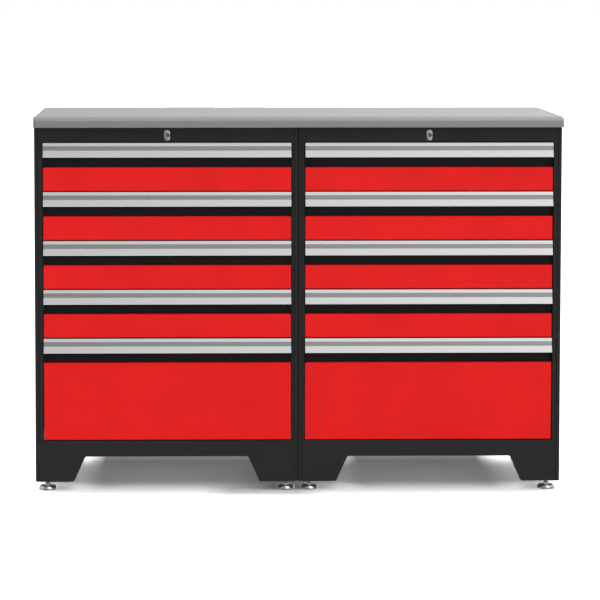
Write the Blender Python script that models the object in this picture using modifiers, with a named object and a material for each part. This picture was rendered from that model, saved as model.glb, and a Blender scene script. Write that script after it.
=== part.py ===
"""Tool chest: two sheet steel drawer cabinets on levelling feet, side by side under one worktop.

Metres, +Z up. The origin is on the floor under the middle of the worktop, and the drawers open
towards -Y. Each cabinet has five drawers on ball-bearing runners and a lock that lifts a lock bar.
The right cabinet is the mirror image of the left one.
"""

import math

import bmesh
import bpy
from mathutils import Euler, Matrix, Vector

# Overall sizes
CABINET_WIDTH = 0.711
CENTRE_GAP = 0.0002
CABINET_DEPTH = 0.559
CABINET_TOP = 0.988
SKIRT_BOTTOM = 0.025
WORKTOP_DEPTH = 0.610
WORKTOP_THICKNESS = 0.030
WORKTOP_FRONT_OVERHANG = 0.045
WORKTOP_EDGE_RADIUS = 0.014
WORKTOP_END_RADIUS = 0.007
WORKTOP_EDGE_STEPS = 6
FRONT = -WORKTOP_DEPTH / 2 + WORKTOP_FRONT_OVERHANG
BACK = FRONT + CABINET_DEPTH

# Sheet metal and fits
SHEET = 0.0015
THIN_SHEET = 0.0012
TOUCH = 0.0003
FLANGE = 0.0095
FRAME_DEPTH = 0.020
FRAME_SETBACK = 0.001
FRAME_FACE = FRONT + FRAME_SETBACK
FRAME_REAR = FRAME_FACE + FRAME_DEPTH

# Drawer fronts: a handle on top, a finger recess under it and a face panel at the bottom
FACE_WIDTH = 0.668
INNER_STILE = 0.019
DRAWER_GAP = 0.002
DRAWERS_BOTTOM = 0.140
SMALL_HEIGHT = 0.1303
LARGE_HEIGHT = 0.2763
SMALL_COUNT = 4
HANDLE_HEIGHT = 0.0385
RECESS_HEIGHT = 0.0275
DRAWER_CENTRE = INNER_STILE + FACE_WIDTH / 2
DRAWERS_TOP = DRAWERS_BOTTOM + LARGE_HEIGHT + SMALL_COUNT * (DRAWER_GAP + SMALL_HEIGHT)
FACE_DEPTH = 0.0195

# Drawer trays, measured from the bottom of the drawer front and from the frame's face
TRAY_HALF_WIDTH = 0.318
TRAY_FRONT = 0.0203
TRAY_DEPTH = 0.500
TRAY_BOTTOM = 0.010
TRAY_TOP_GAP = 0.004
PLATE_STEP = 0.0002
PLATE_BOTTOM = 0.002
PLATE_TOP_GAP = 0.0045
RUNNER_HEIGHT = 0.046
RUNNER_ABOVE_TRAY_BOTTOM = 0.045
RAIL_HEIGHT = 0.034
RAIL_THICKNESS = 0.009
RAIL_START = 0.050
RAIL_LENGTH = 0.470
CHANNEL_LENGTH = 0.480
CHANNEL_WEB = 0.3305
CHANNEL_LIP = 0.010
POST_WIDTH = 0.020
POST_PAST_RUNNER = 0.035
FRONT_POST = RAIL_START
REAR_POST = 0.510

# Lock, lock bar and the pins that it stops
LOCK_HEIGHT = 0.966
LOCK_LIFT = 0.006
BARREL_RADIUS = 0.0078
PLUG_RADIUS = 0.0058
CAM_HUB_RADIUS = 0.0065
CAM_START = 0.0245
CAM_THICKNESS = 0.003
BAR_REST_GAP = 0.001
PIN_RADIUS = 0.003
PIN_FROM_FACE = 0.044
PIN_ABOVE_RUNNER = 0.028
PIN_LENGTH = 0.0145
PIN_CLEARANCE = 0.002
BAR_INNER = 0.337
BAR_THICKNESS = 0.003
BAR_FRONT = 0.033
BAR_BACK = 0.047
ARM_FRONT = 0.024
ARM_BACK = 0.036
ARM_START = -0.014
TAB_REACH = 0.322
TAB_FRONT = 0.034
TAB_BACK = 0.038
TAB_HEIGHT = 0.004

# Base
TOE_TOP = 0.094
LEG_BOTTOM_WIDTH = 0.104
LEG_TOP_WIDTH = 0.135
LEG_CORNER_RADIUS = 0.006
FOOT_INSET = 0.032
FOOT_SETBACK = 0.038
FOOT_PAD_RADIUS = 0.0245
STUD_RADIUS = 0.005
STUD_TOP = 0.075
BASE_RAIL_WIDTH = 0.062
BASE_RAIL_BOTTOM = 0.027
BASE_RAIL_THICKNESS = 0.003


# ---------------------------------------------------------------- scene and materials

def clear_scene():
    for obj in list(bpy.data.objects):
        bpy.data.objects.remove(obj)


def make_material(name, colour, roughness, metallic):
    material = bpy.data.materials.new(name)
    material.use_nodes = True
    shader = material.node_tree.nodes["Principled BSDF"]
    shader.inputs["Base Color"].default_value = (*colour, 1.0)
    shader.inputs["Roughness"].default_value = roughness
    shader.inputs["Metallic"].default_value = metallic
    return material


def make_collection(name):
    collection = bpy.data.collections.new(name)
    bpy.context.scene.collection.children.link(collection)
    return collection


clear_scene()
CHEST = make_collection("tool_chest")
CUTTERS = make_collection("cutters")
BLACK = make_material("black_powder_coat", (0.027, 0.027, 0.028), 0.45, 0.0)
RED = make_material("red_paint", (0.74, 0.020, 0.018), 0.30, 0.0)
ALUMINIUM = make_material("satin_aluminium", (0.68, 0.68, 0.68), 0.35, 1.0)
STAINLESS = make_material("brushed_stainless", (0.58, 0.58, 0.57), 0.35, 1.0)
CORE = make_material("worktop_core", (0.42, 0.29, 0.16), 0.80, 0.0)
ZINC = make_material("zinc_plated_steel", (0.62, 0.63, 0.64), 0.35, 1.0)
CHROME = make_material("chrome", (0.80, 0.80, 0.80), 0.12, 1.0)


# ---------------------------------------------------------------- shape tools

def new_object(name, mesh, collection=CUTTERS):
    obj = bpy.data.objects.new(name, mesh)
    collection.objects.link(obj)
    if collection is CUTTERS:
        obj.hide_render = True
        obj.display_type = "WIRE"
    return obj


def block(name, low, high, open_sides=()):
    """A box between two corners. open_sides lists outward directions, such as (0, 0, 1), to leave off."""
    mesh = bpy.data.meshes.new(name)
    bm = bmesh.new()
    bmesh.ops.create_cube(bm, size=1.0)
    size = [b - a for a, b in zip(low, high)]
    middle = [(a + b) / 2 for a, b in zip(low, high)]
    bmesh.ops.scale(bm, vec=size, verts=bm.verts)
    bmesh.ops.translate(bm, vec=middle, verts=bm.verts)
    bm.normal_update()
    missing = [
        face for face in bm.faces if any(face.normal.dot(Vector(side)) > 0.9 for side in open_sides)
    ]
    bmesh.ops.delete(bm, geom=missing, context="FACES_ONLY")
    bm.to_mesh(mesh)
    bm.free()
    return new_object(name, mesh)


def cylinder(name, centre, radius, length, axis="Y", segments=24):
    """A closed cylinder whose middle is at centre."""
    turn = {"X": (0, math.pi / 2, 0), "Y": (math.pi / 2, 0, 0), "Z": (0, 0, 0)}[axis]
    mesh = bpy.data.meshes.new(name)
    bm = bmesh.new()
    bmesh.ops.create_cone(
        bm, cap_ends=True, segments=segments, radius1=radius, radius2=radius, depth=length
    )
    bm.transform(Matrix.Translation(centre) @ Euler(turn).to_matrix().to_4x4())
    bm.to_mesh(mesh)
    bm.free()
    return new_object(name, mesh)


def solidify(obj, thickness):
    """Gives an open sheet its thickness, inwards from its outer surface."""
    modifier = obj.modifiers.new("sheet", "SOLIDIFY")
    modifier.thickness = thickness
    modifier.offset = -1.0
    modifier.use_even_offset = True
    return obj


def bevel(obj, width, segments):
    modifier = obj.modifiers.new("edges", "BEVEL")
    modifier.width = width
    modifier.segments = segments
    modifier.limit_method = "ANGLE"
    modifier.angle_limit = math.radians(40)
    return obj


def combine(obj, others, operation):
    for other in others:
        modifier = obj.modifiers.new(operation.lower(), "BOOLEAN")
        modifier.operation = operation
        modifier.object = other
    return obj


def baked(obj):
    """The object's mesh with its modifiers or curve settings applied, in world space and welded."""
    bpy.context.view_layer.update()
    graph = bpy.context.evaluated_depsgraph_get()
    mesh = bpy.data.meshes.new_from_object(obj.evaluated_get(graph))
    mesh.transform(obj.matrix_world)
    bm = bmesh.new()
    bm.from_mesh(mesh)
    bmesh.ops.remove_doubles(bm, verts=bm.verts, dist=0.000002)
    bm.to_mesh(mesh)
    bm.free()
    mesh.materials.clear()
    bpy.data.objects.remove(obj)
    return mesh


def solid(name, obj):
    """A finished, closed shape, ready to cut with, to join or to place."""
    return new_object(name, baked(obj))


def arc(centre, radius, start, end, steps):
    """Points on an arc, in degrees, ends included."""
    angles = [math.radians(start + (end - start) * i / steps) for i in range(steps + 1)]
    return [(centre[0] + radius * math.cos(a), centre[1] + radius * math.sin(a)) for a in angles]


def rounded(points, corners, radius, steps=4):
    """The outline with the corners at these indices replaced by curves that start radius before them."""
    made = []
    for i, point in enumerate(points):
        if i not in corners:
            made.append(point)
            continue
        before, after = points[i - 1], points[(i + 1) % len(points)]
        ends = []
        for other in (before, after):
            run = (other[0] - point[0], other[1] - point[1])
            length = math.hypot(*run)
            ends.append((point[0] + run[0] * radius / length, point[1] + run[1] * radius / length))
        for step in range(steps + 1):
            t = step / steps
            made.append(
                tuple(
                    (1 - t) ** 2 * a + 2 * t * (1 - t) * p + t**2 * b
                    for a, p, b in zip(ends[0], point, ends[1])
                )
            )
    return made


def flat_shape(name, outlines, thickness, rotation, location):
    """A plate cut to one outline, with any further outlines as holes, centred on its own plane."""
    curve = bpy.data.curves.new(name, "CURVE")
    curve.dimensions = "2D"
    curve.fill_mode = "BOTH"
    curve.extrude = thickness / 2
    for outline in outlines:
        spline = curve.splines.new("POLY")
        spline.points.add(len(outline) - 1)
        for point, (x, y) in zip(spline.points, outline):
            point.co = (x, y, 0, 1)
        spline.use_cyclic_u = True
    obj = new_object(name, curve)
    obj.rotation_euler = rotation
    obj.location = location
    plate = solid(name, obj)
    bm = bmesh.new()
    bm.from_mesh(plate.data)
    bmesh.ops.recalc_face_normals(bm, faces=bm.faces)
    bm.to_mesh(plate.data)
    bm.free()
    return plate


FACING_FRONT = (math.radians(90), 0, 0)
ALONG_X = (math.radians(90), 0, math.radians(90))


def without_side(obj, side):
    """Removes the faces that look towards a side, such as (0, 0, 1), which leaves an open pan."""
    bm = bmesh.new()
    bm.from_mesh(obj.data)
    bm.normal_update()
    removed = [face for face in bm.faces if face.normal.dot(Vector(side)) > 0.9]
    bmesh.ops.delete(bm, geom=removed, context="FACES")
    bm.to_mesh(obj.data)
    bm.free()
    return obj


def loft(name, rings):
    """A closed solid through rings of equally many points, flat at both ends."""
    mesh = bpy.data.meshes.new(name)
    bm = bmesh.new()
    rings = [[bm.verts.new(point) for point in ring] for ring in rings]
    for ring, following in zip(rings, rings[1:]):
        for i in range(len(ring)):
            j = (i + 1) % len(ring)
            bm.faces.new((ring[i], ring[j], following[j], following[i]))
    bm.faces.new(rings[0])
    bm.faces.new(rings[-1])
    bmesh.ops.recalc_face_normals(bm, faces=bm.faces)
    bm.to_mesh(mesh)
    bm.free()
    return new_object(name, mesh)


def folded_sheet(name, fold_lines, thickness):
    """A strip of sheet folded along lines on its outer surface, each given as a pair of end points."""
    mesh = bpy.data.meshes.new(name)
    bm = bmesh.new()
    folds = [[bm.verts.new(end) for end in line] for line in fold_lines]
    for (a, b), (c, d) in zip(folds, folds[1:]):
        bm.faces.new((a, b, d, c))
    bm.to_mesh(mesh)
    bm.free()
    sheet = solidify(new_object(name, mesh), thickness)
    return solid(name, sheet)


def run_along_y(section, start, end):
    """Fold lines of a section given as (x, z) points, running along Y."""
    return [((x, start, z), (x, end, z)) for x, z in section]


def shade(mesh):
    mesh.shade_smooth()
    mesh.set_sharp_from_angle(angle=math.radians(35))


def place(name, mesh, material, parent=None, location=(0, 0, 0)):
    """Puts one named piece of the chest in the scene. Copies of a piece share its mesh."""
    if not mesh.materials:
        mesh.materials.append(material)
        shade(mesh)
    obj = new_object(name, mesh, CHEST)
    obj.parent = parent
    obj.location = location
    return obj


def empty(name, location):
    obj = bpy.data.objects.new(name, None)
    obj.empty_display_size = 0.05
    obj.location = location
    CHEST.objects.link(obj)
    return obj


def mirrored(obj, side):
    """The shape as modelled for the right cabinet (side 1), or its mirror image (side -1)."""
    mesh = baked(obj)
    if side < 0:
        mesh.transform(Matrix.Diagonal((-1, 1, 1, 1)))
        mesh.flip_normals()
    return mesh


# ---------------------------------------------------------------- worktop

def worktop_section(inset):
    """(y, z) points round the worktop, rolled along its front and back edges."""
    y = WORKTOP_DEPTH / 2 - WORKTOP_EDGE_RADIUS
    z = CABINET_TOP + WORKTOP_THICKNESS - WORKTOP_EDGE_RADIUS
    radius = WORKTOP_EDGE_RADIUS - inset
    back = arc((y, z), radius, 0, 90, WORKTOP_EDGE_STEPS)
    front = [(-a, b) for a, b in reversed(back)]
    base = CABINET_TOP + TOUCH
    return [(y + radius, base), *back, *front, (-y - radius, base)]


def worktop_shape(name, inset):
    """A closed slab with rolled long edges and smaller curves round its two ends."""
    radius = WORKTOP_END_RADIUS - inset
    curve = arc((CABINET_WIDTH - WORKTOP_END_RADIUS, 0), radius, 0, 90, WORKTOP_EDGE_STEPS)
    right = [(x, radius - rise) for x, rise in curve]
    left = [(-x, shrink) for x, shrink in reversed(right)]
    sections = [(x, worktop_section(inset + shrink)) for x, shrink in [*right, *left]]
    return loft(name, [[(x, y, z) for y, z in section] for x, section in sections])


def make_worktop():
    skin = solidify(without_side(worktop_shape("skin", 0), (0, 0, -1)), THIN_SHEET)
    place("worktop_skin", baked(skin), STAINLESS)
    core = worktop_shape("core", THIN_SHEET + TOUCH)
    place("worktop_core", baked(core), CORE)


# ---------------------------------------------------------------- cabinet, modelled at +X

def base_rail_holes(edge, inwards):
    """Cutters for the two levelling studs that pass through a side panel's base rail."""
    x = edge + inwards * FOOT_INSET
    middle = BASE_RAIL_BOTTOM + BASE_RAIL_THICKNESS / 2
    radius = STUD_RADIUS + 0.0006
    return [
        cylinder("stud_hole", (x, y, middle), radius, 0.02, "Z", 20)
        for y in (FRONT + FOOT_SETBACK, BACK - FOOT_SETBACK)
    ]


def side_panel(edge, inwards):
    """A flanged side wall whose outer face is at x = edge, with the base rail that carries two feet."""
    flange_end = edge + inwards * FLANGE
    low_x, high_x = sorted((edge, flange_end))
    wall = block(
        "wall", (low_x, FRONT, SKIRT_BOTTOM), (high_x, BACK, CABINET_TOP), [(inwards, 0, 0)]
    )
    wall = solid("wall", solidify(wall, SHEET))
    rail_x = sorted((edge + inwards * SHEET / 2, edge + inwards * BASE_RAIL_WIDTH))
    rail = block(
        "rail",
        (rail_x[0], FRAME_REAR + 0.001, BASE_RAIL_BOTTOM),
        (rail_x[1], BACK - SHEET - 0.001, BASE_RAIL_BOTTOM + BASE_RAIL_THICKNESS),
    )
    combine(wall, [rail], "UNION")
    return combine(wall, base_rail_holes(edge, inwards), "DIFFERENCE")


def front_frame():
    """The pressed front: top rail, stiles, bottom rail and the two legs with the toe space between them."""
    left = FLANGE + TOUCH
    right = CABINET_WIDTH - FLANGE - TOUCH
    opening_half = FACE_WIDTH / 2 + DRAWER_GAP
    outline = rounded(
        [
            (left, CABINET_TOP),
            (left, SKIRT_BOTTOM),
            (LEG_BOTTOM_WIDTH, SKIRT_BOTTOM),
            (LEG_TOP_WIDTH, TOE_TOP),
            (CABINET_WIDTH - LEG_TOP_WIDTH, TOE_TOP),
            (CABINET_WIDTH - LEG_BOTTOM_WIDTH, SKIRT_BOTTOM),
            (right, SKIRT_BOTTOM),
            (right, CABINET_TOP),
        ],
        (2, 3, 4, 5),
        LEG_CORNER_RADIUS,
    )
    opening = [
        (DRAWER_CENTRE + i * opening_half, z)
        for i, z in (
            (-1, DRAWERS_BOTTOM - DRAWER_GAP),
            (1, DRAWERS_BOTTOM - DRAWER_GAP),
            (1, DRAWERS_TOP + DRAWER_GAP),
            (-1, DRAWERS_TOP + DRAWER_GAP),
        )
    ]
    middle = FRAME_FACE + FRAME_DEPTH / 2
    plate = flat_shape("frame", [outline, opening], FRAME_DEPTH, FACING_FRONT, (0, middle, 0))
    frame = solid("frame", solidify(without_side(plate, (0, 1, 0)), SHEET))
    hole = cylinder(
        "lock_hole", (DRAWER_CENTRE, FRAME_FACE, LOCK_HEIGHT), BARREL_RADIUS + TOUCH, 0.01
    )
    return combine(frame, [hole], "DIFFERENCE")


def carcass_wrap():
    """One sheet folded into the bottom, the back and the top, flush with the side panels' flanges."""
    low, high = FLANGE + TOUCH, CABINET_WIDTH - FLANGE - TOUCH
    front = FRAME_REAR + 0.001
    bottom = TOE_TOP + 0.002
    section = [(front, bottom), (BACK, bottom), (BACK, CABINET_TOP), (front, CABINET_TOP)]
    return folded_sheet("wrap", [((high, y, z), (low, y, z)) for y, z in section], SHEET)


def drawer_bottoms():
    """Heights of the drawer fronts' lower edges, from the top drawer down to the large one."""
    pitch = SMALL_HEIGHT + DRAWER_GAP
    smalls = [DRAWERS_TOP - SMALL_HEIGHT - i * pitch for i in range(SMALL_COUNT)]
    return [*smalls, DRAWERS_BOTTOM]


def runner_height(bottom):
    return bottom + TRAY_BOTTOM + RUNNER_ABOVE_TRAY_BOTTOM


def runner_ladder(direction, wall):
    """Two posts against a side wall, with the fixed channel of each drawer's runner joined across them."""
    post_face = CHANNEL_WEB + SHEET * 0.5
    start = FRAME_FACE + RAIL_START
    channels = []
    for bottom in drawer_bottoms():
        z, half = runner_height(bottom), RUNNER_HEIGHT / 2
        lip = CHANNEL_WEB - CHANNEL_LIP
        section = [(lip, z - half), (CHANNEL_WEB, z - half), (CHANNEL_WEB, z + half), (lip, z + half)]
        section = [(DRAWER_CENTRE + direction * x, height) for x, height in section]
        lines = run_along_y(section, start, start + CHANNEL_LENGTH)
        channels.append(folded_sheet("channel", lines if direction > 0 else lines[::-1], SHEET))
    low = runner_height(DRAWERS_BOTTOM) - POST_PAST_RUNNER
    high = runner_height(drawer_bottoms()[0]) + POST_PAST_RUNNER
    posts = []
    for post in (FRONT_POST, REAR_POST):
        x = sorted((DRAWER_CENTRE + direction * (post_face - SHEET), wall - direction * TOUCH))
        y = FRAME_FACE + post
        side = block("post", (x[0], y, low), (x[1], y + POST_WIDTH, high), [(direction, 0, 0)])
        posts.append(solid("post", solidify(side, SHEET)))
    return combine(posts[0], [posts[1], *channels], "UNION")


# ---------------------------------------------------------------- drawers, origin at the front's foot

def tray(height, side):
    """An open box with a wide front plate, a rail on each side and the pin that the lock bar stops."""
    runner = TRAY_BOTTOM + RUNNER_ABOVE_TRAY_BOTTOM
    tray_box = block(
        "tray",
        (-TRAY_HALF_WIDTH, TRAY_FRONT, TRAY_BOTTOM),
        (TRAY_HALF_WIDTH, TRAY_FRONT + TRAY_DEPTH, height - TRAY_TOP_GAP),
        [(0, 0, 1)],
    )
    tray_box = solid("tray", solidify(tray_box, THIN_SHEET))
    plate = block(
        "plate",
        (-FACE_WIDTH / 2, TRAY_FRONT - PLATE_STEP, PLATE_BOTTOM),
        (FACE_WIDTH / 2, TRAY_FRONT + THIN_SHEET, height - PLATE_TOP_GAP),
    )
    added = [plate]
    for direction in (-1, 1):
        inner = direction * (TRAY_HALF_WIDTH - THIN_SHEET / 2)
        outer = direction * (TRAY_HALF_WIDTH + RAIL_THICKNESS)
        low, high = runner - RAIL_HEIGHT / 2, runner + RAIL_HEIGHT / 2
        section = [(inner, low), (outer, low), (outer, high), (inner, high)]
        lines = run_along_y(section, RAIL_START, RAIL_START + RAIL_LENGTH)
        added.append(folded_sheet("rail", lines if direction > 0 else lines[::-1], SHEET))
    pin_x = side * (TRAY_HALF_WIDTH - THIN_SHEET / 2 + PIN_LENGTH / 2)
    pin_centre = (pin_x, PIN_FROM_FACE, runner + PIN_ABOVE_RUNNER)
    added.append(cylinder("pin", pin_centre, PIN_RADIUS, PIN_LENGTH, "X", 16))
    return baked(combine(tray_box, added, "UNION"))


def face_panel(height):
    """The painted pan that closes the lower part of a drawer front."""
    panel = block(
        "face", (-FACE_WIDTH / 2, 0, 0), (FACE_WIDTH / 2, FACE_DEPTH, height), [(0, 1, 0)]
    )
    return baked(solidify(panel, THIN_SHEET))


def handle():
    """The extruded pull, as long as the front: a bevelled brow, an upright band and a flared lip.

    Fingers reach up behind the lip. The web on top runs back to the tray's front plate.
    """
    wall = 0.0022
    web_back = TRAY_FRONT - 0.0006
    outer = [
        (-0.0028, 0),
        (-0.0037, -0.0006),
        (-0.0067, -0.0078),
        (-0.0071, -0.0090),
        (-0.0071, -0.0194),
        (-0.0074, -0.0216),
        (-0.0082, -0.0236),
        (-0.0142, -0.0357),
        (-0.0145, -0.0373),
        (-0.0136, -HANDLE_HEIGHT),
        (-0.0116, -HANDLE_HEIGHT),
    ]
    inner = [
        (-0.0106, -0.0373),
        (-0.0114, -0.0351),
        (-0.0058, -0.0242),
        (-0.0049, -0.0210),
        (-0.0049, -0.0094),
        (-0.0020, -wall),
    ]
    web = [(web_back - wall, -wall), (web_back - wall, -0.0140), (web_back, -0.0140), (web_back, 0)]
    outline = [*outer, *inner, *web]
    return flat_shape("handle", [outline], FACE_WIDTH, ALONG_X, (0, 0, 0)).data


def make_drawer(label, height, bottom, meshes, side):
    origin = empty(label, (side * DRAWER_CENTRE, FRAME_FACE, bottom))
    place(f"{label}_tray", meshes["tray"], BLACK, origin)
    place(f"{label}_face", meshes["face"], RED, origin)
    place(f"{label}_handle", meshes["handle"], ALUMINIUM, origin, (0, 0, height))


# ---------------------------------------------------------------- lock, origin on its axis at the frame

def lock_housing():
    """A pill-shaped escutcheon with the fixed barrel behind it."""
    half_width, straight = 0.0086, 0.0062
    outline = [
        *arc((0, straight), half_width, 0, 180, 10),
        *arc((0, -straight), half_width, 180, 360, 10),
    ]
    plate = flat_shape("escutcheon", [outline], 0.004, FACING_FRONT, (0, -0.0023, 0))
    bevel(plate, 0.0012, 2)
    barrel = cylinder("barrel", (0, 0.0075, 0), BARREL_RADIUS, 0.021)
    bore = cylinder("bore", (0, 0, 0), PLUG_RADIUS + 0.0002, 0.06)
    combine(plate, [barrel], "UNION")
    return baked(combine(plate, [bore], "DIFFERENCE"))


def lock_plug():
    """The turning plug, with its keyway, and the tail that holds the cam."""
    plug = cylinder("plug", (0, 0.0095, 0), PLUG_RADIUS, 0.029)
    tail = cylinder("tail", (0, 0.0265, 0), 0.003, 0.007, segments=16)
    keyway = block("keyway", (-0.0009, -0.02, -0.0040), (0.0009, 0.004, 0.0040))
    combine(plug, [tail], "UNION")
    return baked(combine(plug, [keyway], "DIFFERENCE"))


def lock_cam():
    """The lever behind the plug: it points sideways when unlocked and up when locked."""
    lobe_radius, reach = 0.0045, 0.007
    outline = [
        *arc((0, 0), CAM_HUB_RADIUS, 90, 270, 10),
        *arc((reach, 0), lobe_radius, -90, 90, 8),
    ]
    middle = CAM_START + CAM_THICKNESS / 2
    cam = flat_shape("cam", [outline], CAM_THICKNESS, FACING_FRONT, (0, middle, 0))
    bore = cylinder("cam_bore", (0, middle, 0), 0.0032, 0.02, segments=16)
    return baked(combine(cam, [bore], "DIFFERENCE"))


def lock_bar():
    """An arm over the cam that carries a strip down the side, with a tab in front of each drawer's pin."""
    arm_bottom = CAM_HUB_RADIUS + BAR_REST_GAP
    arm_top = arm_bottom + BAR_THICKNESS
    reach = BAR_INNER + BAR_THICKNESS
    arm = block("arm", (ARM_START, ARM_FRONT, arm_bottom), (reach, ARM_BACK, arm_top))
    strip_bottom = runner_height(DRAWERS_BOTTOM) - LOCK_HEIGHT
    strip = block("strip", (BAR_INNER, BAR_FRONT, strip_bottom), (reach, BAR_BACK, arm_top))
    tabs = []
    for bottom in drawer_bottoms():
        pin = runner_height(bottom) + PIN_ABOVE_RUNNER - LOCK_HEIGHT
        top = pin - PIN_RADIUS - PIN_CLEARANCE
        joined = BAR_INNER + BAR_THICKNESS / 3
        tabs.append(block("tab", (TAB_REACH, TAB_FRONT, top - TAB_HEIGHT), (joined, TAB_BACK, top)))
    return combine(arm, [strip, *tabs], "UNION")


# ---------------------------------------------------------------- feet, origin on the floor

def foot():
    """A levelling foot: a coned pad, a nut-sized hub and the stud, turned as one shape."""
    profile = [
        (0, STUD_TOP),
        (STUD_RADIUS, STUD_TOP),
        (STUD_RADIUS, 0.0150),
        (0.0092, 0.0150),
        (0.0092, 0.0132),
        (FOOT_PAD_RADIUS - 0.0055, 0.0124),
        (FOOT_PAD_RADIUS - 0.0026, 0.0110),
        (FOOT_PAD_RADIUS, 0.0050),
        (FOOT_PAD_RADIUS, 0),
        (0, 0),
    ]
    mesh = bpy.data.meshes.new("foot")
    points = [(x, 0, z) for x, z in profile]
    mesh.from_pydata(points, [(i, i + 1) for i in range(len(points) - 1)], [])
    turned = new_object("foot", mesh)
    screw = turned.modifiers.new("turn", "SCREW")
    screw.steps = screw.render_steps = 20
    screw.use_merge_vertices = True
    screw.merge_threshold = 0.00001
    return baked(turned)


def make_feet(name, side, mesh):
    for end, y in (("front", FRONT + FOOT_SETBACK), ("rear", BACK - FOOT_SETBACK)):
        for edge, x in (("inner", FOOT_INSET), ("outer", CABINET_WIDTH - FOOT_INSET)):
            place(f"{name}_foot_{end}_{edge}", mesh, CHROME, None, (side * x, y, 0))


# ---------------------------------------------------------------- assembly

def make_cabinet(name, side, shared):
    place(f"{name}_inner_side_panel", mirrored(side_panel(CENTRE_GAP, 1), side), BLACK)
    place(f"{name}_outer_side_panel", mirrored(side_panel(CABINET_WIDTH, -1), side), BLACK)
    place(f"{name}_front_frame", mirrored(front_frame(), side), BLACK)
    place(f"{name}_carcass_wrap", mirrored(carcass_wrap(), side), BLACK)
    inner_wall = CENTRE_GAP + SHEET
    outer_wall = CABINET_WIDTH - SHEET
    place(f"{name}_inner_runner_ladder", mirrored(runner_ladder(-1, inner_wall), side), ZINC)
    place(f"{name}_outer_runner_ladder", mirrored(runner_ladder(1, outer_wall), side), ZINC)

    lock = empty(f"{name}_lock", (side * DRAWER_CENTRE, FRAME_FACE, LOCK_HEIGHT))
    place(f"{name}_lock_housing", shared["housing"], CHROME, lock)
    place(f"{name}_lock_plug", shared["plug"], CHROME, lock)
    place(f"{name}_lock_cam", shared["cam"], ZINC, lock)
    place(f"{name}_lock_bar", mirrored(lock_bar(), side), ZINC, lock)

    small = {**shared["small"], "tray": tray(SMALL_HEIGHT, side)}
    large = {**shared["large"], "tray": tray(LARGE_HEIGHT, side)}
    for number, bottom in enumerate(drawer_bottoms(), 1):
        is_small = number <= SMALL_COUNT
        meshes = small if is_small else large
        height = SMALL_HEIGHT if is_small else LARGE_HEIGHT
        make_drawer(f"{name}_drawer_{number}", height, bottom, meshes, side)
    make_feet(name, side, shared["foot"])


def make_chest():
    above_face = HANDLE_HEIGHT + RECESS_HEIGHT
    pull = handle()
    shared = {
        "housing": lock_housing(),
        "plug": lock_plug(),
        "cam": lock_cam(),
        "foot": foot(),
        "small": {"face": face_panel(SMALL_HEIGHT - above_face), "handle": pull},
        "large": {"face": face_panel(LARGE_HEIGHT - above_face), "handle": pull},
    }
    make_worktop()
    make_cabinet("right", 1, shared)
    make_cabinet("left", -1, shared)


make_chest()
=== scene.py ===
"""The looks of the tool chest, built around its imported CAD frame.

Metres, +Z up, the drawers open towards -Y. Positions come from the frame's boxes. Each piece is made
in its own local frame, shared between copies, and rides on the body that it belongs to.
"""

import math

import bmesh
import bpy
from mathutils import Matrix, Vector


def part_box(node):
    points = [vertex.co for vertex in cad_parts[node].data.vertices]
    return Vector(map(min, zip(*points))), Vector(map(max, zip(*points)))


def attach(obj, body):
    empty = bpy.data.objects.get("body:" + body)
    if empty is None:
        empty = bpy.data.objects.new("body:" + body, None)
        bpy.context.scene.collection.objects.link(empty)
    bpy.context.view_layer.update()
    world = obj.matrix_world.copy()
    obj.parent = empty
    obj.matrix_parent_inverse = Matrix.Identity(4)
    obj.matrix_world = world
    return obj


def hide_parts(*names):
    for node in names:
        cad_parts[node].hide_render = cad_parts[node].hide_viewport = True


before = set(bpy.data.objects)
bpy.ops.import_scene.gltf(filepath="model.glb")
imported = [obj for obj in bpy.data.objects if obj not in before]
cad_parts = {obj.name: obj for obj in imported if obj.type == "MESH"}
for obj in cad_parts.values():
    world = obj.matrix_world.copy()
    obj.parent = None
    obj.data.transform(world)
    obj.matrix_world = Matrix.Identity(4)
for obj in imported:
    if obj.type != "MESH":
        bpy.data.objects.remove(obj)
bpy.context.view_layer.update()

SIDES = {"left": -1, "right": 1}
# Drawers are numbered from the top. All but the last are like the first.
DRAWERS = (1, 2, 3, 4, 5)
SMALL, LARGE = 1, 5

# Sheet metal: its thickness, the outer radius of its bends and the break of its cut edges
SHEET = 0.0015
THIN_SHEET = 0.0012
BEND = 0.0017
WALL_BEND = 0.0032
BEND_STEPS = 5
RIM = 0.0002

# Drawer parts, in each drawer's own frame, with heights above the lower edge of its front
TRAY_INSET = 0.016
TRAY_LIFT = 0.010
RUNNER_LIFT = 0.055
RAIL_HALF = 0.017
RAIL_DEPTH = 0.009
RAIL_START = 0.050
RAIL_END = 0.520

# Lock plug and the barrel round it
PLUG_RADIUS = 0.0058
BARREL_RADIUS = 0.0078

# Levelling feet and the rail that holds them
STUD_RADIUS = 0.0050
THREAD_PITCH = 0.0015
THREAD_DEPTH = 0.0008
BASE_RAIL_TOP = 0.030

# Distances below which two points count as one
TURNED_MERGE = 0.0000005
OUTLINE_MERGE = 0.000001
BISECT_MERGE = 0.0000001
SHEET_MERGE = 0.00001


# ---------------------------------------------------------------- shape tools

def scratch(mesh):
    """A temporary object. joined() takes its finished mesh and removes it."""
    obj = bpy.data.objects.new("scratch", mesh)
    bpy.context.scene.collection.objects.link(obj)
    return obj


def from_bmesh(bm):
    mesh = bpy.data.meshes.new("scratch")
    bm.to_mesh(mesh)
    bm.free()
    return scratch(mesh)


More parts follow.
